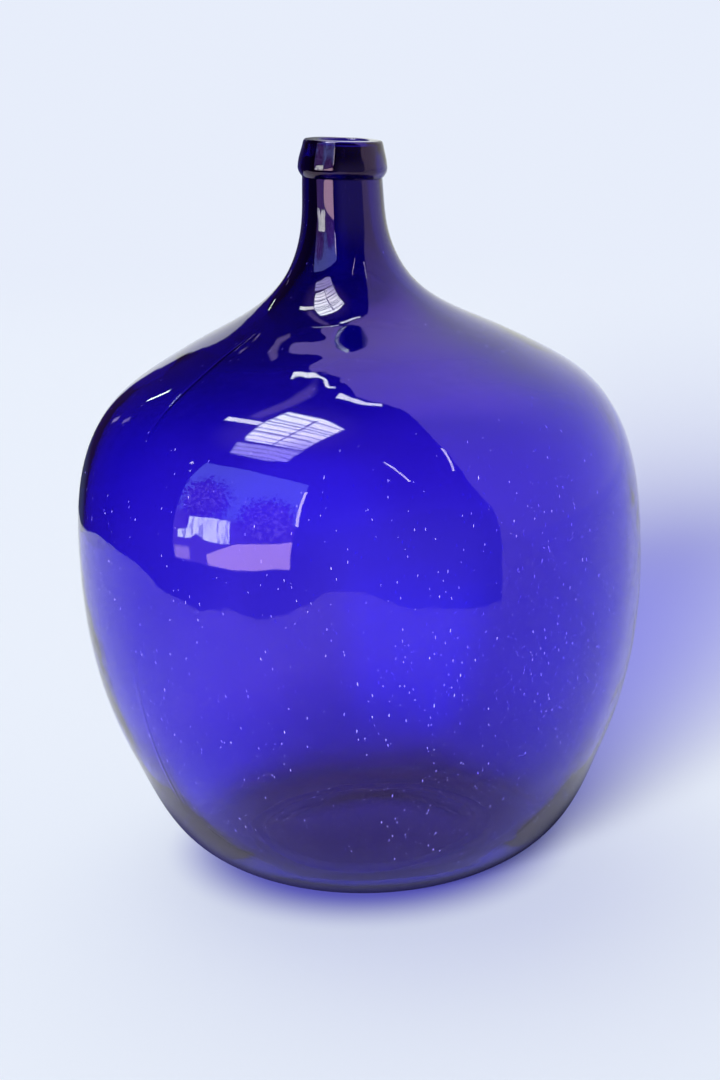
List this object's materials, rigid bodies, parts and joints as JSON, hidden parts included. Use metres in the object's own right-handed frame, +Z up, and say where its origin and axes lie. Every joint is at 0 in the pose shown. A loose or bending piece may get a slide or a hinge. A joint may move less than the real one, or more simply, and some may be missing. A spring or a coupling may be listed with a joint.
{
  "type": "glass demijohn",
  "caption": "Large round bottle of blown cobalt-blue glass with a broad shoulder, a short narrow neck, a thick applied lip and a pushed-up base, open and empty.",
  "frame": {"origin": "on the floor, under the middle of the widest ring", "axes": "+Z up through the neck, +X to the right as the bottle is seen from the front, +Y away from the viewer"},
  "size_m": [0.4576, 0.4574, 0.5908],
  "materials": {
    "body_glass": "clear cobalt-blue blown glass, glossy, with small seed bubbles",
    "lip_glass": "the same glass, thicker and so nearly black-blue, fire-polished"
  },
  "bodies": {
    "root": {"blown_body": "body_glass", "applied_lip": "lip_glass"}
  },
  "joints": []
}
